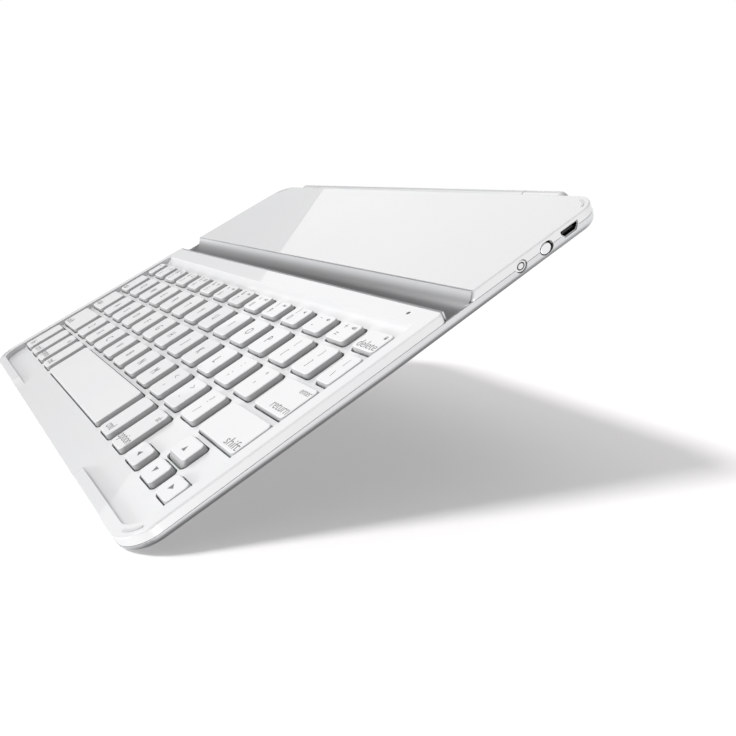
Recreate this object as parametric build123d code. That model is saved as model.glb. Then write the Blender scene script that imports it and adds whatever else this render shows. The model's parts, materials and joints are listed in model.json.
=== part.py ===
from build123d import *
import math
import os

os.makedirs("parts", exist_ok=True)

# Tablet keyboard case. Millimetres, +X right, +Y towards the hinge, +Z up.
# The origin is the centre of the outline, on the level part of the underside.

# ---- body -----------------------------------------------------------------
BODY_W = 241.2          # width, X
BODY_D = 186.0          # front to rear, Y
CORNER_R = 10.5         # plan corners
TOP_Z = 7.4             # top of both covers
PARTING_Z = 4.3         # where the covers meet the shell
SHELL_T = 0.8           # shell wall
SHELL_EDGE_R = 2.8      # rounded lower edge
TAPER_Y = -6.0          # the underside is level behind this and rises in front of it
TAPER_RISE = 1.4        # height of the underside at the front edge
COVER_T = 1.0
COVER_EDGE_R = 0.6      # soft shoulder of the covers
HALF_W = BODY_W / 2
HALF_D = BODY_D / 2

# ---- tablet slot ------------------------------------------------------------
SLOT_Y0 = 18.6          # rear face of the front cover
SLOT_FLOOR_Z = 2.9
SLOT_ARC_Y = 24.6       # the rear wall is an arc that meets the floor here
SLOT_ARC_R = 6.7
LINER_T = 0.55
LINER_HALF_W = 119.5
REAR_COVER_Y0 = 29.0

# ---- keyboard deck --------------------------------------------------------
DECK_Z = 5.2
DECK_HALF_W = 115.4
DECK_Y0, DECK_Y1 = -89.2, 10.2
DECK_CORNER_R = 7.0
SCOOP_R = 4.05          # cove behind the number row
RIM_GAP = 58.0          # half the open part of the front rim
RIM_RAMP = 7.0

# ---- keys ---------------------------------------------------------------------
PITCH = 16.89           # key to key along a row
KEY_W = 12.2
KEY_GAP = PITCH - KEY_W
KEY_TOP_Z = 7.0
KEY_SKIRT_Z = 5.7       # lower rim of a cap
KEY_CROWN_T = 0.8
KEY_R = 1.5             # plan corners
KEY_EDGE_R = 0.35
KEY_WALL = 0.9
PLUNGER_R = 2.0
PLUNGER_Z = 4.75
WELL_X, WELL_Y = 0.8, 0.45   # clearance from cap to deck
LEFT_X = -113.9
RIGHT_X = 113.9
ROW_Y = {1: (-5.7, 4.2), 2: (-22.6, -8.4), 3: (-39.5, -25.3), 4: (-56.4, -42.2), 5: (-77.8, -58.7)}
ARROW_SPLIT = (-69.5, -68.1)  # rear of the lower arrows, front of the upper one

# ---- under the keys ----------------------------------------------------------
PLATE_Z0, PLATE_Z1 = 2.4, 3.0
MEMBRANE_T = 0.25
FRAME_W, FRAME_D, FRAME_BAR, FRAME_H = 9.6, 8.4, 0.8, 0.6
DOME_R, DOME_HOLE_R, DOME_H = 3.2, 2.4, 0.9

# ---- controls in the right wall -------------------------------------------------
CONTROL_Z = 4.25
CAP_RY, CAP_RZ = 2.35, 1.8      # half width and half height of both oval caps
CAP_CLEAR = 0.3                 # gap round a cap
CONNECT_Y = 51.6
POWER_Y = 63.0
POWER_TRAVEL = 1.0
USB_Y = 75.0
USB_TOP_Z, USB_MID_Z, USB_LOW_Z = 6.15, 4.75, 3.1
USB_TOP_HALF, USB_LOW_HALF = 4.3, 2.8

# ---- hinge ----------------------------------------------------------------------
HINGE_Y, HINGE_Z = 95.0, 4.2
HINGE_R = 3.2
NOTCH_R = 3.6
BAR_HALF = 80.9
KNUCKLE_X0, KNUCKLE_X1 = 81.3, 101.3
NOTCH_HALF = 101.8
BAR_FLAT = 2.75         # axis to the flat magnetic face
PIN_R = 1.1
PIN_X0, PIN_X1 = 74.0, 89.0

# ---- small trim -----------------------------------------------------------------
BUMPER_R = 8.0
BUMPER_W = 1.0
BUMPER_SPAN = 42.0
LIGHT_XY = (107.1, 14.6)
LIGHT_R = 0.75


def block(x0, x1, y0, y1, z0, z1):
    """Box between two corners."""
    centre = ((x0 + x1) / 2, (y0 + y1) / 2, (z0 + z1) / 2)
    return Pos(*centre) * Box(x1 - x0, y1 - y0, z1 - z0)


def slab(width, depth, radius, z0, z1, x=0.0, y=0.0):
    """Flat block with rounded plan corners."""
    return Pos(x, y, z0) * extrude(RectangleRounded(width, depth, radius), z1 - z0)


def rod_x(radius, x0, x1, y, z):
    """Cylinder along X."""
    return Pos((x0 + x1) / 2, y, z) * Rot(0, 90, 0) * Cylinder(radius, x1 - x0)


def prism_x(points_yz, x0, x1):
    """Polygon in the YZ plane, extruded along X."""
    face = make_face(Polyline(*[(0, y, z) for y, z in points_yz], close=True))
    return Pos(x0, 0, 0) * extrude(face, x1 - x0, dir=(1, 0, 0))


def usb_outline(grow):
    """Points of the charging socket's outline, grown outwards."""
    top, mid, low = USB_TOP_Z + grow, USB_MID_Z - grow * 0.4, USB_LOW_Z - grow
    wide, narrow = USB_TOP_HALF + grow, USB_LOW_HALF + grow * 0.6
    return [
        (USB_Y - wide, top), (USB_Y + wide, top), (USB_Y + wide, mid),
        (USB_Y + narrow, low), (USB_Y - narrow, low), (USB_Y - wide, mid),
    ]


def oval_x(grow, x0, x1, y):
    """Oval bar along X with the section of a control cap, grown outwards."""
    section = Plane.YZ.offset(x0) * Pos(y, CONTROL_Z) * Ellipse(CAP_RY + grow, CAP_RZ + grow)
    return extrude(section, x1 - x0, dir=(1, 0, 0))


def oval_track(grow, x0, x1, y0, y1):
    """Opening swept by an oval that travels from y0 to y1."""
    height = CAP_RZ + grow
    return (oval_x(grow, x0, x1, y0) + oval_x(grow, x0, x1, y1)
            + block(x0, x1, y0, y1, CONTROL_Z - height, CONTROL_Z + height))


def edges_at_z(shape, z, tol=1e-3):
    """Edges that lie flat at height z."""
    return [e for e in shape.edges() if abs(e.bounding_box().min.Z - z) < tol
            and abs(e.bounding_box().max.Z - z) < tol]


# ---- key layout: name -> list of (x0, x1, y0, y1) ----------------------------------
def row_cells(row, names, first_x, widths):
    """Caps of one row from left to right; widths are cap widths."""
    y0, y1 = ROW_Y[row]
    cells, x = [], first_x
    for name, width in zip(names, widths):
        cells.append((name, (x, x + width, y0, y1)))
        x += width + KEY_GAP
    return cells


def wide_row(row, names, lead):
    """A row of plain keys between a wide left key and a wide right key."""
    plain = [KEY_W] * (len(names) - 2)
    last_x = LEFT_X + lead + KEY_GAP + len(plain) * PITCH
    return row_cells(row, names, LEFT_X, [lead] + plain + [RIGHT_X - last_x])


NUMBERS, MODIFIERS, MARKS, ARROWS = "number_keys", "modifier_keys", "punctuation_keys", "arrow_keys"
cells = wide_row(1, [NUMBERS] * 13 + ["key_delete"], 0.711 * PITCH - KEY_GAP)
cells += wide_row(2, ["key_tab"] + ["key_" + c for c in "qwertyuiop"] + [MARKS] * 3, 0.968 * PITCH - KEY_GAP)
cells += wide_row(3, ["key_caps"] + ["key_" + c for c in "asdfghjkl"] + [MARKS] * 2 + ["key_return"],
                  1.308 * PITCH - KEY_GAP)
cells += wide_row(4, ["key_shift_left"] + ["key_" + c for c in "zxcvbnm"] + [MARKS] * 3 + ["key_shift_right"],
                  1.828 * PITCH - KEY_GAP)

front_y, rear_y = ROW_Y[5]
SMALL_W = 11.2
SMALL_PITCH = 15.65
for i in range(4):
    x = LEFT_X + i * SMALL_PITCH
    cells.append((MODIFIERS, (x, x + SMALL_W, front_y, rear_y)))
cells.append(("key_space", (LEFT_X + 4 * SMALL_PITCH, 36.2, front_y, rear_y)))
for x in (40.6, 56.3):
    cells.append((MODIFIERS, (x, x + SMALL_W, front_y, rear_y)))
for x0, x1 in ((72.2, 83.6), (87.9, 99.3), (103.5, RIGHT_X)):
    cells.append((ARROWS, (x0, x1, front_y, ARROW_SPLIT[0])))
cells.append((ARROWS, (87.3, 99.9, ARROW_SPLIT[1], rear_y)))

key_nodes = {}
for name, cell in cells:
    key_nodes.setdefault(name, []).append(cell)


# ---- aluminium shell ------------------------------------------------------------
def underside(y):
    """Height of the underside, which tapers towards the front."""
    return TAPER_RISE * max(TAPER_Y - y, 0) / (TAPER_Y + HALF_D)


def tapered_tub(inset, top):
    """Body outline drawn in by inset, with a tapered bottom and a rounded lower edge."""
    tub = slab(BODY_W - 2 * inset, BODY_D - 2 * inset, CORNER_R - inset, inset, top)
    front_y = -HALF_D - 5
    wedge = [(TAPER_Y, inset), (front_y, inset + underside(front_y)), (front_y, -5), (TAPER_Y, -5)]
    tub -= prism_x(wedge, -130, 130)
    lower = [e for e in tub.edges() if e.bounding_box().max.Z < inset + TAPER_RISE + 0.01
             and e.bounding_box().size.Y + abs(e.center().Y - TAPER_Y) > 0.01]
    return fillet(lower, SHELL_EDGE_R - inset)


shell = tapered_tub(0, PARTING_Z)
hollow = tapered_tub(SHELL_T, PARTING_Z + 1)
hollow -= block(-NOTCH_HALF - 1, NOTCH_HALF + 1, 90.2, 95, 0, 9)
shell -= hollow
for y in (-80, -57.5, -40.9, -24, -7.1, 8):
    shell += block(-110, 110, y - 0.5, y + 0.5, underside(y) + SHELL_T / 2, PLATE_Z0)
for x, y in ((92, 45), (92, 80), (108, 45), (108, 80)):
    shell += Pos(x, y, SHELL_T - 0.1) * Cylinder(1.4, 1.4, align=(Align.CENTER, Align.CENTER, Align.MIN))

hinge_notch = rod_x(NOTCH_R, -NOTCH_HALF, NOTCH_HALF, HINGE_Y, HINGE_Z)
control_cut = oval_x(CAP_CLEAR, 116, 123, CONNECT_Y)
control_cut += oval_track(CAP_CLEAR, 116, 123, POWER_Y, POWER_Y + POWER_TRAVEL)
control_cut += prism_x(usb_outline(0), 116, 123)
shell = shell - hinge_notch - control_cut


# ---- front cover ----------------------------------------------------------------
def cover_plan(y0, y1, slot_y):
    """White cover: the body's outline cut off at the slot, with soft edges."""
    body = slab(BODY_W, BODY_D, CORNER_R, PARTING_Z, TOP_Z)
    body &= block(-130, 130, y0, y1, 0, 20)
    upright = [e for e in body.edges().filter_by(Axis.Z) if abs(e.center().Y - slot_y) < 0.01]
    body = fillet(upright, 2.0)
    return fillet(edges_at_z(body, TOP_Z), COVER_EDGE_R)


def bumper_arc(corner_x, corner_y, half_width, z0, z1):
    """Curved strip around one corner, round at both ends."""
    cx = math.copysign(HALF_W - CORNER_R, corner_x)
    cy = math.copysign(HALF_D - CORNER_R, corner_y)
    mid = math.degrees(math.atan2(corner_y, corner_x))
    a0, a1 = mid - BUMPER_SPAN / 2, mid + BUMPER_SPAN / 2
    ring = Pos(cx, cy, z0) * extrude(Circle(BUMPER_R + half_width) - Circle(BUMPER_R - half_width), z1 - z0)
    wedge = Polyline((cx, cy), *[(cx + 14 * math.cos(math.radians(a)), cy + 14 * math.sin(math.radians(a)))
                                 for a in (a0, mid, a1)], close=True)
    arc = ring & Pos(0, 0, z0) * extrude(make_face(wedge), z1 - z0)
    for a in (math.radians(a0), math.radians(a1)):
        arc += Pos(cx + BUMPER_R * math.cos(a), cy + BUMPER_R * math.sin(a), z0) * Cylinder(
            half_width, z1 - z0, align=(Align.CENTER, Align.CENTER, Align.MIN))
    return arc


front = cover_plan(-HALF_D, SLOT_Y0, SLOT_Y0)

arc_y = DECK_Y1 - math.sqrt(SCOOP_R ** 2 - (SCOOP_R - (TOP_Z - DECK_Z)) ** 2)
scoop = rod_x(SCOOP_R, -DECK_HALF_W, DECK_HALF_W, arc_y, DECK_Z + SCOOP_R)
deck_cut = block(-DECK_HALF_W, DECK_HALF_W, DECK_Y0, arc_y, DECK_Z, 12) + scoop
deck_cut &= block(-130, 130, -100, DECK_Y1 + 5, DECK_Z, 12)
plan_depth = DECK_Y1 + 4 - DECK_Y0
plan = slab(2 * DECK_HALF_W, plan_depth, DECK_CORNER_R, DECK_Z, 12, y=DECK_Y0 + plan_depth / 2)
front -= deck_cut & plan

ramp = Polyline((-RIM_GAP - RIM_RAMP, TOP_Z + 0.01), (-RIM_GAP, DECK_Z), (RIM_GAP, DECK_Z),
                (RIM_GAP + RIM_RAMP, TOP_Z + 0.01), close=True)
front -= Pos(0, -99, 0) * Rot(90, 0, 0) * extrude(make_face(ramp), -14)

for name, (x0, x1, y0, y1) in cells:
    width, depth = x1 - x0 + 2 * WELL_X, y1 - y0 + 2 * WELL_Y
    front -= slab(width, depth, KEY_R + 0.3, PARTING_Z - 1, DECK_Z + 1, (x0 + x1) / 2, (y0 + y1) / 2)
front -= slab(228, 5.6, 1.0, PARTING_Z - 1, TOP_Z - COVER_T, y=14.4)
front -= Pos(*LIGHT_XY, TOP_Z - 2) * Cylinder(LIGHT_R + 0.03, 6)

# ---- rear cover -----------------------------------------------------------------
rear = cover_plan(REAR_COVER_Y0, HALF_D, REAR_COVER_Y0)
liner_back = SLOT_ARC_R + LINER_T + 0.05
rear -= rod_x(liner_back, -130, 130, SLOT_ARC_Y, SLOT_FLOOR_Z + SLOT_ARC_R)
rear_hollow = slab(BODY_W - 2.4, BODY_D - 2.4, CORNER_R - 1.2, PARTING_Z - 1, TOP_Z - COVER_T)
rear -= rear_hollow & block(-130, 130, 33, 90.2, 0, 9)
rear = rear - hinge_notch - control_cut

bumpers = []
for sx in (-1, 1):
    for sy in (-1, 1):
        bumpers.append(bumper_arc(sx, sy, BUMPER_W / 2, TOP_Z - 0.6, TOP_Z + 0.15))
        groove = bumper_arc(sx, sy, BUMPER_W / 2 + 0.03, TOP_Z - 0.63, TOP_Z + 1)
        if sy < 0:
            front -= groove
        else:
            rear -= groove

# ---- slot liner -----------------------------------------------------------------
arc_z = SLOT_FLOOR_Z + SLOT_ARC_R
lip_z = TOP_Z - 0.1
inner_lip_y = SLOT_ARC_Y + math.sqrt(SLOT_ARC_R ** 2 - (arc_z - lip_z) ** 2)
outer_r = SLOT_ARC_R + LINER_T
outer_lip_y = SLOT_ARC_Y + math.sqrt(outer_r ** 2 - (arc_z - lip_z) ** 2)
outer_floor_z = SLOT_FLOOR_Z - LINER_T
front_y0 = SLOT_Y0 + 0.05
front_y1 = front_y0 + LINER_T
bend = 0.9


def arc_mid(radius, y_end):
    """Half-way point of the rear wall's arc."""
    half = math.asin((y_end - SLOT_ARC_Y) / radius) / 2
    return (0, SLOT_ARC_Y + radius * math.sin(half), arc_z - radius * math.cos(half))


liner_line = [
    Line((0, front_y0, lip_z), (0, front_y1, lip_z)),
    Line((0, front_y1, lip_z), (0, front_y1, SLOT_FLOOR_Z + bend)),
    ThreePointArc((0, front_y1, SLOT_FLOOR_Z + bend),
                  (0, front_y1 + bend * 0.293, SLOT_FLOOR_Z + bend * 0.293),
                  (0, front_y1 + bend, SLOT_FLOOR_Z)),
    Line((0, front_y1 + bend, SLOT_FLOOR_Z), (0, SLOT_ARC_Y, SLOT_FLOOR_Z)),
    ThreePointArc((0, SLOT_ARC_Y, SLOT_FLOOR_Z), arc_mid(SLOT_ARC_R, inner_lip_y), (0, inner_lip_y, lip_z)),
    Line((0, inner_lip_y, lip_z), (0, outer_lip_y, lip_z)),
    ThreePointArc((0, outer_lip_y, lip_z), arc_mid(outer_r, outer_lip_y), (0, SLOT_ARC_Y, outer_floor_z)),
    Line((0, SLOT_ARC_Y, outer_floor_z), (0, front_y1 + bend, outer_floor_z)),
    ThreePointArc((0, front_y1 + bend, outer_floor_z),
                  (0, front_y0 + (bend + LINER_T) * 0.293, outer_floor_z + (bend + LINER_T) * 0.293),
                  (0, front_y0, SLOT_FLOOR_Z + bend)),
    Line((0, front_y0, SLOT_FLOOR_Z + bend), (0, front_y0, lip_z)),
]
liner_face = make_face(liner_line)
liner = Pos(-LINER_HALF_W, 0, 0) * extrude(liner_face, 2 * LINER_HALF_W, dir=(1, 0, 0))
magnets = [block(x - 16, x + 16, 20.8, 27.2, SHELL_T + 0.05, outer_floor_z - 0.1) for x in range(-95, 96, 38)]


# ---- keys -----------------------------------------------------------------------
def key_cap(x0, x1, y0, y1):
    """Hollow cap with soft edges and a plunger underneath."""
    cx, cy = (x0 + x1) / 2, (y0 + y1) / 2
    cap = slab(x1 - x0, y1 - y0, KEY_R, KEY_SKIRT_Z, KEY_TOP_Z, cx, cy)
    cap = fillet(edges_at_z(cap, KEY_TOP_Z), KEY_EDGE_R)
    inside_w, inside_d = x1 - x0 - 2 * KEY_WALL, y1 - y0 - 2 * KEY_WALL
    cap -= slab(inside_w, inside_d, KEY_R - 0.7, KEY_SKIRT_Z - 1, KEY_TOP_Z - KEY_CROWN_T, cx, cy)
    cap += Pos(cx, cy, PLUNGER_Z) * Cylinder(
        PLUNGER_R, KEY_TOP_Z - KEY_CROWN_T - PLUNGER_Z + 0.1, align=(Align.CENTER, Align.CENTER, Align.MIN))
    return cap


def folded_link(x0, x1, y0, y1):
    """Scissor link folded flat around the dome."""
    cx, cy = (x0 + x1) / 2, (y0 + y1) / 2
    least = 2 * DOME_R + 2 * FRAME_BAR + 0.2
    width, depth = max(min(FRAME_W, x1 - x0 - 0.6), least), max(min(FRAME_D, y1 - y0 - 0.6), least)
    z = PLATE_Z1 + MEMBRANE_T
    outer = slab(width, depth, 0.8, z, z + FRAME_H, cx, cy)
    return outer - slab(width - 2 * FRAME_BAR, depth - 2 * FRAME_BAR, 0.3, z - 1, z + 2, cx, cy)


def dome(x0, x1, y0, y1):
    """Dome wall, modelled as a short ring around the plunger."""
    centre = Pos((x0 + x1) / 2, (y0 + y1) / 2, PLATE_Z1 + MEMBRANE_T)
    return centre * extrude(Circle(DOME_R) - Circle(DOME_HOLE_R), DOME_H)


links = [folded_link(*cell) for _, cell in cells]
domes = [dome(*cell) for _, cell in cells]
plate = slab(231, 97, 4, PLATE_Z0, PLATE_Z1, y=-34.5)
membrane = slab(230, 95, 3, PLATE_Z1, PLATE_Z1 + MEMBRANE_T, y=-34.5)

# ---- power, board and controls -----------------------------------------------------
battery = [slab(98, 48, 2, SHELL_T + 0.05, 3.6, x, 62) for x in (-63, 38)]
board = slab(28, 45, 1, 2.1, 2.9, 103, 62.5)
usb_shell = prism_x(usb_outline(-0.05), 113.5, 120.3) - prism_x(usb_outline(-0.4), 114.2, 121)
usb_shell += block(113.5, 118.2, USB_Y - 3.0, USB_Y + 3.0, 2.9, USB_LOW_Z + 0.2)
usb_tongue = block(114.2, 119.4, USB_Y - 2.7, USB_Y + 2.7, 4.25, 4.95)

CAP_IN, STEM_END, SWITCH_FACE = 118.2, 116.1, 115.3
CONNECT_FACE, POWER_FACE = 120.15, 120.75


def oval_cap(y, face):
    """Control cap with a softened outer rim."""
    cap = oval_x(0, CAP_IN, face, y)
    return fillet([e for e in cap.edges() if abs(e.center().X - face) < 0.01], 0.25)


connect = oval_cap(CONNECT_Y, CONNECT_FACE)
connect += rod_x(0.9, STEM_END, CAP_IN + 0.1, CONNECT_Y, CONTROL_Z)
connect_switch = block(111.5, SWITCH_FACE, CONNECT_Y - 2.5, CONNECT_Y + 2.5, 2.9, 5.6)
power = oval_cap(POWER_Y, POWER_FACE)
power += block(STEM_END, CAP_IN + 0.1, POWER_Y - 0.8, POWER_Y + 0.8, CONTROL_Z - 0.7, CONTROL_Z + 0.7)
power_switch = block(111, SWITCH_FACE, POWER_Y - 3.2, POWER_Y + 4.2, 2.9, 5.6)
light = Pos(*LIGHT_XY, TOP_Z - 1.0) * Cylinder(LIGHT_R, 0.96, align=(Align.CENTER, Align.CENTER, Align.MIN))

# ---- hinge ------------------------------------------------------------------------
bar = rod_x(HINGE_R, -BAR_HALF, BAR_HALF, HINGE_Y, HINGE_Z)
bar -= block(-BAR_HALF - 1, BAR_HALF + 1, HINGE_Y - 5, HINGE_Y + 5, -2, HINGE_Z - BAR_FLAT)
POCKET_X = ((-68, -4), (4, 68))
for x0, x1 in POCKET_X:
    bar -= block(x0, x1, HINGE_Y - 1.9, HINGE_Y + 1.9, HINGE_Z - 1.6, HINGE_Z + 1.2)
for s in (-1, 1):
    bar -= rod_x(PIN_R + 0.05, min(s * 73, s * 82), max(s * 73, s * 82), HINGE_Y, HINGE_Z)
bar_magnets = [block(x0 + 0.1, x1 - 0.1, HINGE_Y - 1.85, HINGE_Y + 1.85, HINGE_Z - 1.55, HINGE_Z + 1.15)
               for x0, x1 in POCKET_X]


def knuckle(side):
    """Fixed end barrel with a saddle that seats in the body's rear notch."""
    barrel = rod_x(HINGE_R, KNUCKLE_X0, KNUCKLE_X1, HINGE_Y, HINGE_Z)
    barrel = fillet([e for e in barrel.edges() if abs(e.center().X - KNUCKLE_X1) < 0.01], 2.9)
    saddle = rod_x(NOTCH_R - 0.03, KNUCKLE_X0, 97.5, HINGE_Y, HINGE_Z)
    saddle &= block(KNUCKLE_X0, 97.5, 90, 93.4, HINGE_Z - 2.6, HINGE_Z + 2.4)
    whole = barrel + saddle - rod_x(PIN_R + 0.01, KNUCKLE_X0 - 1, PIN_X1 + 0.1, HINGE_Y, HINGE_Z)
    return whole if side > 0 else mirror(whole, Plane.YZ)


pins = [rod_x(PIN_R, min(s * PIN_X0, s * PIN_X1), max(s * PIN_X0, s * PIN_X1), HINGE_Y, HINGE_Z)
        for s in (-1, 1)]

# ---- write one file per part ---------------------------------------------------------
parts = {
    "bottom_shell": [shell], "front_cover": [front], "rear_cover": [rear], "slot_liner": [liner],
    "slot_magnets": magnets, "key_plate": [plate], "key_membrane": [membrane], "scissor_links": links,
    "key_domes": domes, "battery_cells": battery, "main_board": [board], "usb_socket": [usb_shell],
    "usb_tongue": [usb_tongue], "connect_button": [connect], "connect_switch": [connect_switch],
    "power_knob": [power], "power_switch": [power_switch], "status_light": [light],
    "corner_bumpers": bumpers, "hinge_bar": [bar], "hinge_magnets": bar_magnets,
    "hinge_knuckles": [knuckle(1), knuckle(-1)], "hinge_pins": pins,
}
for name, group in key_nodes.items():
    parts[name] = [key_cap(*cell) for cell in group]

for name, solids in parts.items():
    shape = solids[0] if len(solids) == 1 else Compound(children=solids)
    export_step(shape, f"parts/{name}.step")
print(len(parts), "parts")
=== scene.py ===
import json
import math

import bpy
import numpy as np
from mathutils import Matrix, Vector

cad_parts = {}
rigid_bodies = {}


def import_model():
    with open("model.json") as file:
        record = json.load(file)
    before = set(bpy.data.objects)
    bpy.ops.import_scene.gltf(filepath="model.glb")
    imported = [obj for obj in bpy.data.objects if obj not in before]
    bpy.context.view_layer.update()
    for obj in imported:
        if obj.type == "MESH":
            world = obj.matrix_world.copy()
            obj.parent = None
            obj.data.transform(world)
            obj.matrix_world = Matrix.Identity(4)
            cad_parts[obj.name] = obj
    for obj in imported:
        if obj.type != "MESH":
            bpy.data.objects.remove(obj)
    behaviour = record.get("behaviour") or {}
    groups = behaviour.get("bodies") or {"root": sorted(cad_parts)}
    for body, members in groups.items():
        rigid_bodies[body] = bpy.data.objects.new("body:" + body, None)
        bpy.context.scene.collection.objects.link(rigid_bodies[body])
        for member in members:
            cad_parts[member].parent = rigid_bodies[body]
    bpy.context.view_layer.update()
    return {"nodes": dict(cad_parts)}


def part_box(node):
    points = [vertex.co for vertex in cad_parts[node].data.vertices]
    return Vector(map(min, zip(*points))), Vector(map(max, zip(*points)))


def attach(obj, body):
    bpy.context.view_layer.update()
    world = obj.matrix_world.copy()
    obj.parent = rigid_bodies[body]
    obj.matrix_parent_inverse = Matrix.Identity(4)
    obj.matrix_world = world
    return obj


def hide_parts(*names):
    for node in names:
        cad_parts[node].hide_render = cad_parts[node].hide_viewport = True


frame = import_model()

# Looks of the tablet keyboard case. Metres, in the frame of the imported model:
# +X right, +Y towards the hinge, +Z up. The origin is the centre of the outline, on the level part of the
# underside.

MM = 0.001
scene = bpy.context.scene
scene.view_settings.view_transform = "Standard"


# ---- node groups shared by the finishes ---------------------------------------
def new_group(name, inputs, outputs):
    """Empty shader group; inputs are (name, socket type, default), outputs (name, socket type)."""
    group = bpy.data.node_groups.new(name, "ShaderNodeTree")
    for label, kind, value in inputs:
        socket = group.interface.new_socket(name=label, in_out="INPUT", socket_type="NodeSocket" + kind)
        socket.default_value = value
    for label, kind in outputs:
        group.interface.new_socket(name=label, in_out="OUTPUT", socket_type="NodeSocket" + kind)
    start, end = group.nodes.new("NodeGroupInput"), group.nodes.new("NodeGroupOutput")
    start.location, end.location = (-900, 0), (700, 0)
    return group, start, end


def node(tree, kind, **settings):
    """Node of one kind with its settings; names with a leading in_ set an input's value."""
    made = tree.nodes.new(kind)
    for key, value in settings.items():
        if key.startswith("in_"):
            made.inputs[key[3:].replace("_", " ")].default_value = value
        else:
            setattr(made, key, value)
    return made


def math_node(tree, operation, a, b):
    """a operation b, where each is a socket or a number."""
    made = node(tree, "ShaderNodeMath", operation=operation)
    for i, value in enumerate((a, b)):
        if isinstance(value, (int, float)):
            made.inputs[i].default_value = value
        else:
            tree.links.new(value, made.inputs[i])
    return made.outputs[0]


def blend_node(tree, factor, a, b):
    """Colour mix from a to b by factor, each a socket or a colour."""
    made = node(tree, "ShaderNodeMix", data_type="RGBA")
    for i, value in ((0, factor), (6, a), (7, b)):
        if isinstance(value, (float, int, tuple)):
            made.inputs[i].default_value = value
        else:
            tree.links.new(value, made.inputs[i])
    return made.outputs[2]


def range_node(tree, value, bounds, **settings):
    """Value carried from one range to another; bounds are from low, from high, to low, to high."""
    made = node(tree, "ShaderNodeMapRange", **settings)
    for i, bound in enumerate(bounds):
        made.inputs[i + 1].default_value = bound
    tree.links.new(value, made.inputs[0])
    return made.outputs[0]


def skin_group():
    """Moulded plastic skin: broad cloudy tone, fine grain for the height, handling marks in the roughness."""
    group, start, end = new_group(
        "moulded_skin",
        [("Colour", "Color", (0.8, 0.8, 0.8, 1)), ("Shade", "Color", (0.7, 0.7, 0.7, 1)),
         ("Grain", "Float", 3000.0), ("Roughness", "Float", 0.3), ("Spread", "Float", 0.05)],
        [("Colour", "Color"), ("Roughness", "Float"), ("Height", "Float")])
    where = node(group, "ShaderNodeTexCoord")
    cloud = node(group, "ShaderNodeTexNoise", in_Scale=26.0, in_Detail=3.0, in_Roughness=0.55)
    fine = node(group, "ShaderNodeTexNoise", in_Detail=2.0, in_Roughness=0.6)
    smear = node(group, "ShaderNodeTexNoise", in_Scale=120.0, in_Detail=4.0, in_Roughness=0.65,
                 in_Distortion=0.8)
    for noise in (cloud, fine, smear):
        group.links.new(where.outputs["Object"], noise.inputs["Vector"])
    group.links.new(start.outputs["Grain"], fine.inputs["Scale"])
    tone = range_node(group, cloud.outputs["Fac"], (0.35, 0.7, 0.0, 1.0))
    group.links.new(blend_node(group, tone, start.outputs["Colour"], start.outputs["Shade"]),
                    end.inputs["Colour"])
    marks = math_node(group, "ADD", math_node(group, "MULTIPLY", smear.outputs["Fac"], 0.7),
                      math_node(group, "MULTIPLY", fine.outputs["Fac"], 0.3))
    swing = math_node(group, "MULTIPLY", math_node(group, "SUBTRACT", marks, 0.5), start.outputs["Spread"])
    group.links.new(math_node(group, "ADD", swing, start.outputs["Roughness"]), end.inputs["Roughness"])
    group.links.new(fine.outputs["Fac"], end.inputs["Height"])
    return group


def blasted_group():
    """Bead-blasted metal: tiny pits from cell noise over fine grain, with slow tonal drift."""
    group, start, end = new_group(
        "blasted_metal",
        [("Colour", "Color", (0.8, 0.8, 0.8, 1)), ("Shade", "Color", (0.6, 0.6, 0.6, 1)),
         ("Grain", "Float", 5000.0), ("Roughness", "Float", 0.35), ("Spread", "Float", 0.1)],
        [("Colour", "Color"), ("Roughness", "Float"), ("Height", "Float")])
    where = node(group, "ShaderNodeTexCoord")
    fine = node(group, "ShaderNodeTexNoise", in_Detail=3.0, in_Roughness=0.7)
    pits = node(group, "ShaderNodeTexVoronoi", feature="F1")
    drift = node(group, "ShaderNodeTexNoise", in_Scale=18.0, in_Detail=2.0)
    for texture in (fine, pits, drift):
        group.links.new(where.outputs["Object"], texture.inputs["Vector"])
    group.links.new(start.outputs["Grain"], fine.inputs["Scale"])
    group.links.new(start.outputs["Grain"], pits.inputs["Scale"])
    tone = math_node(group, "ADD", math_node(group, "MULTIPLY", fine.outputs["Fac"], 0.6),
                     math_node(group, "MULTIPLY", drift.outputs["Fac"], 0.4))
    group.links.new(blend_node(group, tone, start.outputs["Colour"], start.outputs["Shade"]),
                    end.inputs["Colour"])
    swing = math_node(group, "MULTIPLY", math_node(group, "SUBTRACT", tone, 0.5), start.outputs["Spread"])
    group.links.new(math_node(group, "ADD", swing, start.outputs["Roughness"]), end.inputs["Roughness"])
    group.links.new(math_node(group, "MULTIPLY", fine.outputs["Fac"], pits.outputs["Distance"]),
                    end.inputs["Height"])
    return group


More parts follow.
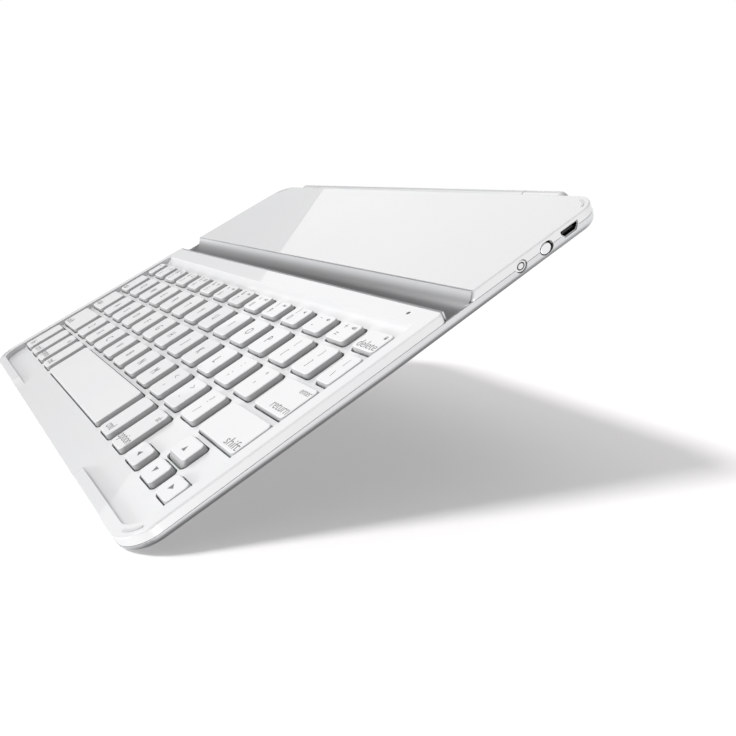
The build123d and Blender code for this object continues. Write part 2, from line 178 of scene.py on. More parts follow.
def drawn_group():
    """Drawn or brushed metal: noise stretched along the width, so fine lines run from side to side. The
    colour is multiplied by a share that goes from Dark at the height Low to one at the height High: painted
    shade, darker towards the bottom of a hollow."""
    group, start, end = new_group(
        "drawn_metal",
        [("Colour", "Color", (0.8, 0.8, 0.8, 1)), ("Shade", "Color", (0.6, 0.6, 0.6, 1)),
         ("Grain", "Float", 5000.0), ("Roughness", "Float", 0.35), ("Spread", "Float", 0.1),
         ("Low", "Float", 0.0), ("High", "Float", 1.0), ("Dark", "Float", 1.0)],
        [("Colour", "Color"), ("Roughness", "Float"), ("Height", "Float")])
    where = node(group, "ShaderNodeTexCoord")
    stretch = node(group, "ShaderNodeMapping")
    stretch.inputs["Scale"].default_value = (0.012, 1.0, 1.0)
    lines = node(group, "ShaderNodeTexNoise", in_Detail=4.0, in_Roughness=0.6)
    group.links.new(where.outputs["Object"], stretch.inputs["Vector"])
    group.links.new(stretch.outputs["Vector"], lines.inputs["Vector"])
    group.links.new(start.outputs["Grain"], lines.inputs["Scale"])
    split = node(group, "ShaderNodeSeparateXYZ")
    group.links.new(where.outputs["Object"], split.inputs[0])
    share = node(group, "ShaderNodeMapRange", interpolation_type="SMOOTHSTEP")
    share.inputs["To Max"].default_value = 1.0
    for label, target in (("Low", "From Min"), ("High", "From Max"), ("Dark", "To Min")):
        group.links.new(start.outputs[label], share.inputs[target])
    group.links.new(split.outputs["Z"], share.inputs["Value"])
    tone = blend_node(group, lines.outputs["Fac"], start.outputs["Colour"], start.outputs["Shade"])
    shaded = node(group, "ShaderNodeVectorMath", operation="SCALE")
    group.links.new(tone, shaded.inputs[0])
    group.links.new(share.outputs[0], shaded.inputs["Scale"])
    group.links.new(shaded.outputs[0], end.inputs["Colour"])
    swing = math_node(group, "MULTIPLY", math_node(group, "SUBTRACT", lines.outputs["Fac"], 0.5),
                      start.outputs["Spread"])
    group.links.new(math_node(group, "ADD", swing, start.outputs["Roughness"]), end.inputs["Roughness"])
    group.links.new(lines.outputs["Fac"], end.inputs["Height"])
    return group


GROUPS = {"skin": skin_group(), "blasted": blasted_group(), "drawn": drawn_group()}


def finish_of(name, kind, colour, shade, grain, roughness, spread, bump, bump_mm=0.01, depth=None, **sockets):
    """Material whose colour, roughness and fine bump come from one of the groups; sockets are set on the
    shader. depth is (low height, high height, share of the colour at the low one): painted shade, darker
    lower down."""
    material = bpy.data.materials.new(name)
    material.use_nodes = True
    tree = material.node_tree
    shader = tree.nodes["Principled BSDF"]
    surface = node(tree, "ShaderNodeGroup", node_tree=GROUPS[kind])
    surface.location, shader.location = (-500, 100), (0, 100)
    surface.inputs["Colour"].default_value = (*colour, 1)
    surface.inputs["Shade"].default_value = (*shade, 1)
    surface.inputs["Grain"].default_value = grain
    surface.inputs["Roughness"].default_value = roughness
    surface.inputs["Spread"].default_value = spread
    for label, value in zip(("Low", "High", "Dark"), depth or ()):
        surface.inputs[label].default_value = value
    relief = node(tree, "ShaderNodeBump", in_Strength=bump, in_Distance=bump_mm * MM)
    tree.links.new(surface.outputs["Colour"], shader.inputs["Base Color"])
    tree.links.new(surface.outputs["Roughness"], shader.inputs["Roughness"])
    tree.links.new(surface.outputs["Height"], relief.inputs["Height"])
    tree.links.new(relief.outputs["Normal"], shader.inputs["Normal"])
    for label, value in sockets.items():
        shader.inputs[label.replace("_", " ")].default_value = value
    return material


def grey(v):
    return (v, v, v)


# What follows the two colours is the grain, the roughness, its spread, and the bump's strength and height.
FINISH = {
    "gloss_white": finish_of("gloss white moulding", "skin", grey(0.82), (0.805, 0.81, 0.815), 2600, 0.30,
                             0.06, 0.03, 0.005, Coat_Weight=1.0, Coat_Roughness=0.012),
    "key_white": finish_of("satin white key plastic", "skin", grey(0.86), (0.845, 0.848, 0.852), 9000, 0.42,
                           0.10, 0.12, 0.005, Coat_Weight=0.8, Coat_Roughness=0.03),
    "key_ink": finish_of("grey key print", "skin", grey(0.18), (0.21, 0.21, 0.215), 12000, 0.5, 0.1, 0.15,
                         0.004),
    "shell_metal": finish_of("bead blasted aluminium", "blasted", grey(0.80), (0.74, 0.745, 0.755), 7000,
                             0.40, 0.12, 0.25, 0.006, Metallic=1.0),
    # Painted shade: the slot liner's colour darkens to 0.45 of itself from 7 mm down to 3 mm above the
    # underside, deep in the slot.
    "liner_metal": finish_of("drawn satin aluminium", "drawn", grey(0.90), (0.84, 0.845, 0.855), 5200, 0.40,
                             0.14, 0.2, 0.006, depth=(3.0 * MM, 7.0 * MM, 0.45), Metallic=1.0),
    "steel": finish_of("turned steel", "blasted", grey(0.56), (0.47, 0.47, 0.48), 6000, 0.28, 0.14, 0.2,
                       0.006, Metallic=1.0),
    "magnet": finish_of("nickel plated magnet", "blasted", grey(0.50), (0.42, 0.42, 0.43), 4000, 0.24, 0.12,
                        0.15, 0.006, Metallic=1.0),
    "film": finish_of("switch membrane film", "skin", (0.42, 0.47, 0.44), (0.36, 0.42, 0.40), 3000, 0.22, 0.1,
                      0.1, 0.005),
    "silicone": finish_of("dome silicone", "skin", grey(0.62), (0.55, 0.56, 0.57), 4000, 0.48, 0.1, 0.2,
                          0.008),
    "bumper_grey": finish_of("grey bumper rubber", "skin", grey(0.74), (0.69, 0.692, 0.698), 7000, 0.52, 0.12,
                             0.35, 0.01),
    "black_plastic": finish_of("black socket plastic", "skin", grey(0.012), (0.02, 0.02, 0.022), 8000, 0.34,
                               0.14, 0.25, 0.008),
    "cell_wrap": finish_of("battery cell wrap", "skin", (0.30, 0.31, 0.34), (0.24, 0.25, 0.28), 1500, 0.30,
                           0.15, 0.3, 0.02),
    "board_green": finish_of("circuit board mask", "skin", (0.008, 0.035, 0.018), (0.006, 0.026, 0.014), 3500,
                             0.26, 0.12, 0.3, 0.01),
    "lens_grey": finish_of("smoked light lens", "skin", grey(0.20), (0.16, 0.165, 0.17), 6000, 0.18, 0.08,
                           0.1, 0.004),
    "link_plastic": finish_of("scissor link plastic", "skin", grey(0.55), (0.48, 0.485, 0.49), 5000, 0.4,
                              0.12, 0.2, 0.008),
}
EXTRA = {
    # Darker copy of the white key plastic for the caps' side walls: painted shade, so the walls between keys
    # read as shadowed.
    "key_side": finish_of("satin white key side", "skin", grey(0.58), (0.55, 0.553, 0.556), 9000, 0.45, 0.10,
                          0.12, 0.005),
    # Near-black strip on the side walls along the parting line: painted shadow standing in for the shade in the
    # gap.
    "seam": finish_of("shadow gap gasket", "skin", grey(0.030), (0.045, 0.045, 0.047), 9000, 0.6, 0.1, 0.2,
                      0.004),
    "mark": finish_of("engraved ring grey", "blasted", grey(0.20), (0.14, 0.14, 0.145), 9000, 0.45, 0.1, 0.2,
                      0.004, Metallic=0.6),
    "gold": finish_of("plated contact", "drawn", (0.78, 0.60, 0.30), (0.66, 0.50, 0.24), 9000, 0.24, 0.1,
                      0.15, 0.004, Metallic=1.0),
}

for part in frame["nodes"].values():
    for slot in part.material_slots:
        slot.material = FINISH[slot.material.name.split(".")[0]]


# ---- mesh building ----------------------------------------------------------------
def closed_rings(rings, low_pole=None, high_pole=None):
    """Triangles of a closed skin: rings is (rings, points, 3), each ring anticlockwise from above and going
    from the inside bottom outwards and up to the top; each pole closes one end with a fan."""
    count, around = rings.shape[:2]
    points = rings.reshape(-1, 3)
    index = np.arange(count * around).reshape(count, around)
    turned = np.roll(index, -1, axis=1)
    a, b, c, d = index[:-1], turned[:-1], turned[1:], index[1:]
    faces = [np.stack([a, b, c], -1).reshape(-1, 3), np.stack([a, c, d], -1).reshape(-1, 3)]
    for pole, ring, turn, flip in ((low_pole, index[0], turned[0], True),
                                   (high_pole, index[-1], turned[-1], False)):
        if pole is not None:
            tip = np.full(around, len(points))
            points = np.vstack([points, pole])
            fan = np.stack([tip, turn, ring] if flip else [tip, ring, turn], -1)
            faces.append(fan)
    return points, np.vstack(faces)


def rounded_outline(half_w, half_d, radius, steps=9):
    """Rounded rectangle about the origin: four quarter arcs, each of its corner's centre plus radius times
    (cosine, sine) of an angle that goes through a quarter turn; arrays of half sizes give many outlines."""
    quarter = np.linspace(0, np.pi / 2, steps)
    angle = np.concatenate([quarter + k * np.pi / 2 for k in range(4)])
    sx = np.repeat([1, -1, -1, 1], steps)
    sy = np.repeat([1, 1, -1, -1], steps)
    half_w, half_d, radius = (np.asarray(v, float)[..., None] for v in (half_w, half_d, radius))
    x = sx * (half_w - radius) + radius * np.cos(angle)
    y = sy * (half_d - radius) + radius * np.sin(angle)
    return x, y


SMOOTH_UP_TO = 40        # degrees between faces that still shade as one surface


class Piece:
    """Collects closed skins, each with its finish, and makes one object of them."""

    def __init__(self):
        self.points, self.faces, self.marks, self.total = [], [], [], 0

    def add(self, points, faces, finish=0):
        """Adds one closed skin; if its signed volume, the sum of its triangles' triple products, is negative,
        every triangle is turned round."""
        points, faces = np.asarray(points, float), np.asarray(faces)
        a, b, c = points[faces[:, 0]], points[faces[:, 1]], points[faces[:, 2]]
        if np.einsum("ij,ij->", a, np.cross(b, c)) < 0:
            faces = faces[:, ::-1]
        self.points.append(points)
        self.faces.append(faces + self.total)
        self.marks.append(np.broadcast_to(finish, len(faces)))
        self.total += len(points)

    def build(self, name, finishes, body, stands_for=()):
        """Makes the object, gives it its finishes and lets it ride on its body."""
        points, faces = np.vstack(self.points), np.vstack(self.faces)
        mesh = bpy.data.meshes.new(name)
        mesh.vertices.add(len(points))
        mesh.vertices.foreach_set("co", points.astype(np.float32).ravel())
        mesh.loops.add(faces.size)
        mesh.loops.foreach_set("vertex_index", faces.astype(np.int32).ravel())
        mesh.polygons.add(len(faces))
        mesh.polygons.foreach_set("loop_start", np.arange(0, faces.size, 3, dtype=np.int32))
        for finish in finishes:
            mesh.materials.append(finish)
        mesh.polygons.foreach_set("material_index", np.concatenate(self.marks).astype(np.int32))
        mesh.update(calc_edges=True)
        mesh.validate()
        mesh.polygons.foreach_set("use_smooth", np.ones(len(mesh.polygons), bool))
        mesh.set_sharp_from_angle(angle=math.radians(SMOOTH_UP_TO))
        made = bpy.data.objects.new(name, mesh)
        scene.collection.objects.link(made)
        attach(made, body)
        if stands_for:
            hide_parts(*stands_for)


def box_faces(low, high):
    """Closed box between two corners."""
    grid = np.array([[x, y, z] for z in (0, 1) for y in (0, 1) for x in (0, 1)], float)
    points = np.asarray(low) + grid * (np.asarray(high) - np.asarray(low))
    quads = np.array([[0, 2, 3, 1], [4, 5, 7, 6], [0, 1, 5, 4], [2, 6, 7, 3], [0, 4, 6, 2], [1, 3, 7, 5]])
    return points, np.vstack([quads[:, [0, 1, 2]], quads[:, [0, 2, 3]]])


def ring_band(radius, width, depth, around=48):
    """Flat ring about the X axis: a four-cornered section carried round a circle by (cosine, sine)."""
    turn = np.linspace(0, 2 * np.pi, around, endpoint=False)
    section = np.array([[-1, 0], [1, 0], [1, 1], [-1, 1]], float)
    r = radius + section[:, 0, None] * width / 2
    h = section[:, 1, None] * depth + 0 * turn
    a, b = r * np.cos(turn), r * np.sin(turn)
    points = np.stack((h, a, b), -1)
    index = np.arange(4 * around).reshape(4, around)
    nxt, up = np.roll(index, -1, axis=1), np.roll(index, -1, axis=0)
    both = np.roll(nxt, -1, axis=0)
    faces = np.vstack([np.stack([index, nxt, both], -1).reshape(-1, 3),
                       np.stack([index, both, up], -1).reshape(-1, 3)])
    return points.reshape(-1, 3), faces[:, ::-1]


# ---- key legends -------------------------------------------------------------------
# Millimetres, and heights are those of a capital.
LETTER_H, WORD_H, SMALL_H, SIGN_H = 3.8, 3.4, 2.5, 3.4
TALL_SIGN_H = 2.7        # for brackets and bars, which are taller than a capital
DIGIT_H, OVER_DIGIT_H = 3.2, 3.0
NARROW = 0.70            # letters are narrower than the face
PRINT_T = 0.03           # half depth of the print, most of it sunk in the cap
PRINT_LIFT = 0.012 * MM  # how far the print stands out of the cap
CAPITAL_SHARE = 0.69     # height of a capital as a share of the face's size
THIN, SMALL_THIN = 0.03, 0.02      # how much the strokes of a text and of a small text are thinned
_glyphs = {}


def glyph_mesh(text, capital, thin):
    """Closed mesh of a text, its box centred on the origin, in metres."""
    key = (text, capital, thin)
    em = capital / CAPITAL_SHARE
    if key not in _glyphs:
        curve = bpy.data.curves.new("legend", "FONT")
        curve.body, curve.size = text, em * MM
        curve.extrude, curve.offset = PRINT_T * MM, -thin * MM
        curve.resolution_u = 4
        holder = bpy.data.objects.new("legend", curve)
        scene.collection.objects.link(holder)
        bpy.context.view_layer.update()
        mesh = bpy.data.meshes.new_from_object(holder)
        mesh.calc_loop_triangles()
        points = np.zeros(len(mesh.vertices) * 3)
        mesh.vertices.foreach_get("co", points)
        faces = np.zeros(len(mesh.loop_triangles) * 3, np.int32)
        mesh.loop_triangles.foreach_get("vertices", faces)
        bpy.data.objects.remove(holder)
        bpy.data.curves.remove(curve)
        bpy.data.meshes.remove(mesh)
        points, weld = np.unique(np.round(points.reshape(-1, 3), 8), axis=0, return_inverse=True)
        middle = (points.min(0) + points.max(0)) / 2
        _glyphs[key] = (points - middle, weld.ravel()[faces].reshape(-1, 3))
    return _glyphs[key]


def print_text(piece, text, x, y, top, capital, align="centre", thin=THIN, width=None):
    """Puts a text on a cap: x is its centre, left or right end; width stretches it to that many millimetres."""
    points, faces = glyph_mesh(text, capital, thin)
    placed = points * (width * MM / (2 * points[:, 0].max()) if width else NARROW, 1, 1)
    half = placed[:, 0].max()
    x = {"centre": x, "left": x + half, "right": x - half}[align]
    piece.add(placed + (x, y, top - PRINT_T * MM + PRINT_LIFT), faces, 1)


def plate(outline, z, x, y):
    """Thin closed plate from an outline of (x, y) in millimetres, anticlockwise."""
    flat = np.array(outline, float) * MM + (x, y)
    rings = np.stack([np.column_stack([flat, np.full(len(flat), z - 2 * PRINT_T * MM + PRINT_LIFT)]),
                      np.column_stack([flat, np.full(len(flat), z + PRINT_LIFT)])])
    middle = flat.mean(0)
    return closed_rings(rings, (*middle, rings[0, 0, 2]), (*middle, rings[1, 0, 2]))


def stroke(piece, points, x, y, top, width=0.28):
    """Thin bar from one point to the next, in millimetres about (x, y)."""
    line = np.array(points, float)
    for a, b in zip(line[:-1], line[1:]):
        along = (b - a) / max(np.hypot(*(b - a)), 1e-9)
        side = np.array([-along[1], along[0]]) * width / 2
        a, b = a - along * width / 2, b + along * width / 2
        piece.add(*plate([a - side, b - side, b + side, a + side], top, x, y), 1)


def circle_points(radius, count=14, x=0.0, y=0.0):
    """Points of a circle: its centre plus radius times (cosine, sine) of equal steps of a full turn."""
    turn = np.linspace(0, 2 * np.pi, count, endpoint=False)
    return np.column_stack([x + radius * np.cos(turn), y + radius * np.sin(turn)])


def window(half_w, low, high):
    """Closed line round an upright rectangle."""
    return [(-half_w, low), (half_w, low), (half_w, high), (-half_w, high), (-half_w, low)]


def icon(piece, kind, x, y, top):
    """Small generic function sign."""
    if kind == "dim" or kind == "bright":
        piece.add(*plate(circle_points(0.42 if kind == "dim" else 0.55), top, x, y), 1)
        reach = 1.0 if kind == "dim" else 1.3
        for a in np.arange(8) * np.pi / 4:
            tip = np.array([np.cos(a), np.sin(a)]) * reach
            stroke(piece, [tip * 0.76, tip], x, y, top, 0.18)
    elif kind == "home":
        stroke(piece, window(0.8, -0.8, 0.8), x, y, top, 0.24)
    elif kind == "find":
        ring = circle_points(0.62, 10, -0.2, 0.2)
        stroke(piece, np.vstack([ring, ring[:1]]), x, y, top, 0.22)
        stroke(piece, [(0.25, -0.25), (1.0, -1.0)], x, y, top, 0.3)
    elif kind == "screen":
        stroke(piece, window(1.2, -0.7, 0.8), x, y, top, 0.22)
    elif kind == "board":
        stroke(piece, window(1.4, -0.8, 0.8), x, y, top, 0.2)
        for row in (0.3, -0.25):
            stroke(piece, [(-0.9, row), (0.9, row)], x, y, top, 0.2)
    elif kind == "back":
        for dx in (-0.65, 0.55):
            piece.add(*plate([(dx + 0.55, -0.7), (dx + 0.55, 0.7), (dx - 0.55, 0)], top, x, y), 1)
    elif kind == "on":
        for dx in (-0.55, 0.65):
            piece.add(*plate([(dx - 0.55, 0.7), (dx - 0.55, -0.7), (dx + 0.55, 0)], top, x, y), 1)
    elif kind == "play":
        piece.add(*plate([(-1.1, 0.7), (-1.1, -0.7), (0.0, 0)], top, x, y), 1)
        for dx in (0.45, 0.95):
            stroke(piece, [(dx, -0.55), (dx, 0.55)], x, y, top, 0.26)
    elif kind in ("mute", "soft", "loud"):
        horn = [(-1.1, -0.35), (-0.6, -0.35), (0.0, -0.85), (0.0, 0.85), (-0.6, 0.35), (-1.1, 0.35)]
        piece.add(*plate(horn, top, x, y), 1)
        for i in range({"mute": 0, "soft": 1, "loud": 2}[kind]):
            r = 0.55 + 0.5 * i
            stroke(piece, [(r * 0.75, -r * 0.75), (r + 0.1, 0), (r * 0.75, r * 0.75)], x, y, top, 0.2)
    elif kind == "lock":
        piece.add(*plate([(-0.6, -0.8), (0.6, -0.8), (0.6, 0.15), (-0.6, 0.15)], top, x, y), 1)
        stroke(piece, [(-0.38, 0.15), (-0.38, 0.65), (0.38, 0.65), (0.38, 0.15)], x, y, top, 0.2)


def arrow(piece, direction, x, y, top, size=1.25):
    """Solid triangle that points along direction."""
    turn = math.atan2(direction[1], direction[0])
    shape = np.array([(-0.75, 0.85), (-0.75, -0.85), (0.85, 0)]) * size
    spin = np.array([[math.cos(turn), math.sin(turn)], [-math.sin(turn), math.cos(turn)]])
    piece.add(*plate(shape @ spin, top, x, y), 1)


# ---- keys -------------------------------------------------------------------------
# Millimetres.
CAP_CORNER, CAP_EDGE, CAP_WALL, CAP_CROWN = 1.9, 0.42, 0.6, 0.8
CAP_DRAFT, CAP_DISH = 0.14, 0.035
CAP_H = 2.1              # skirt to crown; longer than the solid cap's, so a pressed small key meets its link
CAP_SIDE_RINGS = 10      # rings of a cap below the soft edge of its top
UP_LEAN = 1.5            # how far the front of the up arrow's cap is set back at its top
POST_R = 2.0
ROW_GAP = 0.5 * MM       # caps further apart than this are different keys


def side_marks(rings, around, first, last, finish):
    """Finish of each face of a closed skin with two poles: finish between two rings, 0 elsewhere."""
    bands = np.zeros(rings - 1, int)
    bands[first:last] = finish
    return np.concatenate([np.tile(np.repeat(bands, around), 2), np.zeros(2 * around, int)])


def cap_skin(x0, x1, y0, y1, top, lean=0.0):
    """Soft-edged hollow key cap. Each ring is the cap's rounded outline drawn in by an inset at a height:
    down the inner wall, round the skirt, up the outer wall with a little draft, over a quarter-round edge, then
    shrunk in steps to the middle of a crown, which is dished most at the middle and less by the square of the
    distance from it. lean, a length, sets the front edge back by itself times the height's share of the cap,
    and points nearer the middle by less, in proportion to how far forward they lie."""
    bend = np.linspace(0, np.pi / 2, 7)
    inset = np.concatenate([[CAP_WALL + 0.3, CAP_WALL, CAP_WALL, CAP_WALL - 0.08, 0.12, 0.03, 0.0, CAP_DRAFT],
                            CAP_DRAFT + 0.02 + CAP_EDGE * (1 - np.cos(bend)),
                            [CAP_DRAFT + CAP_EDGE + 0.16]]) * MM
    skirt, ceiling = top - CAP_H * MM, top - CAP_CROWN * MM
    height = np.concatenate([[ceiling, ceiling - 0.1 * MM, skirt + 0.06 * MM, skirt, skirt, skirt + 0.05 * MM,
                              skirt + 0.14 * MM, top - (CAP_EDGE + 0.04) * MM],
                             top - CAP_EDGE * MM * (1 - np.sin(bend)), [top]])
    half_w, half_d = (x1 - x0) / 2, (y1 - y0) / 2
    radius = np.maximum(CAP_CORNER * MM - inset, 0.35 * MM)
    x, y = rounded_outline(half_w - inset, half_d - inset, radius)
    shrink = np.array([0.93, 0.8, 0.6, 0.35, 0.12])
    x = np.vstack([x, x[-1] * shrink[:, None]])
    y = np.vstack([y, y[-1] * shrink[:, None]])
    height = np.concatenate([height, top - CAP_DISH * MM * (1 - shrink ** 2)])
    rise = np.clip((height - top) / (CAP_H * MM) + 1, 0, 1)[:, None]
    y = y + lean * rise * np.clip(-y / half_d, 0, 1)
    rings = np.stack([x + (x0 + x1) / 2, y + (y0 + y1) / 2, np.broadcast_to(height[:, None], x.shape)], -1)
    middle = ((x0 + x1) / 2, (y0 + y1) / 2)
    skin = closed_rings(rings, (*middle, ceiling), (*middle, top - CAP_DISH * MM))
    # The side rings below the soft top edge take finish 2, the darker copy of the key plastic: painted shade.
    return (*skin, side_marks(*rings.shape[:2], 0, CAP_SIDE_RINGS, 2))


def post_skin(x, y, low, high, radius):
    """Round post with a softened foot: rings of one circle at rising heights, closed by a fan at each end."""
    turn = np.linspace(0, 2 * np.pi, 28, endpoint=False)
    r = np.array([0.9, 1.0, 1.0]) * radius
    z = np.array([low, low + 0.1 * radius, high])
    rings = np.stack([x + r[:, None] * np.cos(turn), y + r[:, None] * np.sin(turn),
                      np.broadcast_to(z[:, None], (3, 28))], -1)
    return closed_rings(rings, (x, y, low), (x, y, high))


def spans(low, high, gap):
    """Groups of intervals that touch or overlap: a new group starts where the next interval's low end lies
    more than gap above every high end so far."""
    order = np.argsort(low)
    reach = np.maximum.accumulate(high[order])
    breaks = np.nonzero(low[order][1:] > reach[:-1] + gap)[0] + 1
    return np.split(order, breaks)


def caps_of(name):
    """Boxes (x0, x1, y0, y1, base, top) of the caps in a CAD node, rear row first and left to right."""
    mesh = frame["nodes"][name].data
    mesh.calc_loop_triangles()
    points = np.zeros(len(mesh.vertices) * 3)
    mesh.vertices.foreach_get("co", points)
    corners = np.zeros(len(mesh.loop_triangles) * 3, np.int32)
    mesh.loop_triangles.foreach_get("vertices", corners)
    triangles = points.reshape(-1, 3)[corners.reshape(-1, 3)]
    low, high = triangles.min(1), triangles.max(1)
    found = []
    for row in reversed(spans(low[:, 1], high[:, 1], ROW_GAP)):
        for cell in spans(low[row, 0], high[row, 0], ROW_GAP):
            cell = row[cell]
            a, b = low[cell].min(0), high[cell].max(0)
            found.append((a[0], b[0], a[1], b[1], a[2], b[2]))
    return found


NUMBER_SIGNS = [("`", "~", "home"), ("1", "!", "home"), ("2", "@", "find"), ("3", "#", "screen"),
                ("4", "$", "board"), ("5", "%", "dim"), ("6", "^", "back"), ("7", "&", "back"),
                ("8", "*", "play"), ("9", "(", "on"), ("0", ")", "mute"), ("-", "_", "soft"),
                ("=", "+", "loud")]
MARK_SIGNS = [("[", "{"), ("]", "}"), ("\\", "|"), (";", ":"), ("'", "\""), (",", "<"), (".", ">"),
              ("/", "?")]
MODIFIER_WORDS = [("fn", ""), ("ctrl", ""), ("option", "alt"), ("cmd", ""), ("cmd", ""), ("option", "alt")]


# A legend function prints cap number i of its piece, whose middle is (x, y) and whose ends are x0 and x1.
def number_legend(piece, i, x, y, x0, x1, top):
    low, high, sign = NUMBER_SIGNS[i]
    shift = -1.9 * MM if i else -0.9 * MM
    print_text(piece, low, x + shift, y - 1.9 * MM, top, DIGIT_H)
    print_text(piece, high, x + shift, y + 2.5 * MM, top, OVER_DIGIT_H)
    if i:
        icon(piece, sign, x + 2.9 * MM, y + 2.5 * MM, top)


def mark_legend(piece, i, x, y, x0, x1, top):
    low, high = MARK_SIGNS[i]
    size = TALL_SIGN_H if low in "[]\\" else SIGN_H
    print_text(piece, low, x, y - 2.4 * MM + (1.6 * MM if low == "'" else 0), top, size)
    print_text(piece, high, x, y + 3.1 * MM + (1.1 * MM if high == "\"" else 0), top, size - 0.2)


def modifier_legend(piece, i, x, y, x0, x1, top):
    word, small = MODIFIER_WORDS[i]
    print_text(piece, word, x, y - 5.9 * MM, top, WORD_H, width=1.65 * len(word))
    if small:
        print_text(piece, small, x1 - 1.3 * MM, y + 6.3 * MM, top, SMALL_H, "right", SMALL_THIN)


def arrow_legend(piece, i, x, y, x0, x1, top):
    arrow(piece, [(0, 1), (-1, 0), (0, -1), (1, 0)][i], x, y, top)


def letter_legend(letter):
    def draw(piece, i, x, y, x0, x1, top):
        print_text(piece, letter, x, y, top, LETTER_H)
    return draw


def word_legend(word, side, small=None, sign=None):
    def draw(piece, i, x, y, x0, x1, top):
        low_y = y - (2.2 * MM if word == "delete" else 4.1 * MM)
        end = {"left": x0 + 1.5 * MM, "right": x1 - 0.9 * MM}[side]
        print_text(piece, word, end, low_y, top, WORD_H, side, width=1.68 * len(word))
        if small:
            print_text(piece, small, end, y + 4.2 * MM, top, SMALL_H, side, SMALL_THIN, 1.22 * len(small))
        if sign:
            icon(piece, sign, end - 1.6 * MM, y + 2.7 * MM, top)
    return draw


def no_legend(piece, i, x, y, x0, x1, top):
    return None


LEGENDS = {"number_keys": number_legend, "punctuation_keys": mark_legend, "modifier_keys": modifier_legend,
           "arrow_keys": arrow_legend, "key_space": no_legend,
           "key_delete": word_legend("delete", "right", sign="lock"),
           "key_tab": word_legend("tab", "left"), "key_caps": word_legend("caps", "left"),
           "key_return": word_legend("return", "right", small="enter"),
           "key_shift_left": word_legend("shift", "left"), "key_shift_right": word_legend("shift", "right")}

UNDER_KEYS = ("key_plate", "key_membrane", "key_domes")
KEY_GROUPS = ["number_keys", "punctuation_keys", "modifier_keys", "arrow_keys"]
single_keys = [n for n in frame["nodes"] if n.startswith("key_") and n not in UNDER_KEYS]
for name in sorted(single_keys) + KEY_GROUPS:
    piece = Piece()
    draw = LEGENDS.get(name) or letter_legend(name[4:].upper())
    for i, (x0, x1, y0, y1, base, top) in enumerate(caps_of(name)):
        x, y = (x0 + x1) / 2, (y0 + y1) / 2
        sloped = name == "arrow_keys" and i == 0
        piece.add(*cap_skin(x0, x1, y0, y1, top, UP_LEAN * MM if sloped else 0.0))
        piece.add(*post_skin(x, y, base, top - (CAP_CROWN - 0.1) * MM, POST_R * MM))
        draw(piece, i, x, y, x0, x1, top)
    body = frame["nodes"][name].parent.name.split(":", 1)[1]
    piece.build(name + ("_caps" if name in KEY_GROUPS else "_cap"),
                [FINISH["key_white"], FINISH["key_ink"], EXTRA["key_side"]], body, [name])


# ---- seam between the covers and the tray -----------------------------------------------
CORNER_R = 10.5 * MM
SEAM_H, SEAM_T, SEAM_PROUD = 0.13 * MM, 0.3 * MM, 0.012 * MM
GAP = 0.4 * MM                     # from the seam's end to a control
FRONT_GAP, REAR_GAP, NOTCH_GAP = 0.6 * MM, 0.9 * MM, 0.5 * MM      # to the slot's two sides and the hinge
KNOB_TRAVEL = 1.0 * MM
tray_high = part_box("bottom_shell")[1]
HALF_W, HALF_D, SEAM_Z = tray_high.x, tray_high.y, tray_high.z


def corner_arc(sx, sy, steps=15):
    """Quarter circle round one corner of the body, from its side to its front or rear: the corner's centre
    plus the radius times (cosine, sine) of an angle through a quarter turn."""
    turn = np.linspace(0, np.pi / 2, steps)
    return np.column_stack([sx * (HALF_W - CORNER_R + CORNER_R * np.cos(turn)),
                            sy * (HALF_D - CORNER_R + CORNER_R * np.sin(turn))])


def carried(path, section):
    """Section of (outward, up) points carried along a path in the plan: each point is the path's point plus
    outward times the path's left or right unit normal, whichever leaves the middle of the body."""
    path = np.asarray(path, float)
    tangent = np.gradient(path, axis=0)
    tangent /= np.hypot(*tangent.T)[:, None]
    normal = np.column_stack([tangent[:, 1], -tangent[:, 0]])
    normal *= np.sign(np.einsum("ij,ij->i", normal, path))[:, None]
    section = np.asarray(section, float)
    plan = path[:, None, :] + normal[:, None, :] * section[None, :, :1]
    up = np.broadcast_to(section[:, 1], plan.shape[:2])
    rings = np.concatenate([plan, up[..., None]], -1)
    return closed_rings(rings, rings[0].mean(0), rings[-1].mean(0))


# The seam is a thin near-black band just proud of the walls: painted shadow of the parting gap.
seam_section = [(SEAM_PROUD, SEAM_Z - SEAM_H / 2), (SEAM_PROUD, SEAM_Z + SEAM_H / 2),
                (SEAM_PROUD - SEAM_T, SEAM_Z + SEAM_H / 2), (SEAM_PROUD - SEAM_T, SEAM_Z - SEAM_H / 2)]
slot_front, slot_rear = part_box("front_cover")[1].y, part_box("rear_cover")[0].y
notch_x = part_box("hinge_knuckles")[1].x + NOTCH_GAP
button_low, button_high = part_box("connect_button")
knob_low, knob_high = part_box("power_knob")
socket_low, socket_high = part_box("usb_socket")
stops = [slot_rear + REAR_GAP, button_low.y - GAP, button_high.y + GAP, knob_low.y - GAP,
         knob_high.y + KNOB_TRAVEL + GAP, socket_low.y - GAP, socket_high.y + GAP]
seam = Piece()
front_path = np.vstack([[(HALF_W, slot_front - FRONT_GAP)], corner_arc(1, -1), corner_arc(-1, -1)[::-1],
                        [(-HALF_W, slot_front - FRONT_GAP)]])
seam.add(*carried(front_path, seam_section))
for y0, y1 in zip(stops[0:6:2], stops[1:6:2]):
    seam.add(*carried([(HALF_W, y0), (HALF_W, (y0 + y1) / 2), (HALF_W, y1)], seam_section))
for side, y0 in ((1, stops[6]), (-1, stops[0])):
    seam.add(*carried(np.vstack([[(side * HALF_W, y0)], corner_arc(side, 1), [(side * notch_x, HALF_D)]]),
                      seam_section))
seam.build("cover_seam", [EXTRA["seam"]], "case")


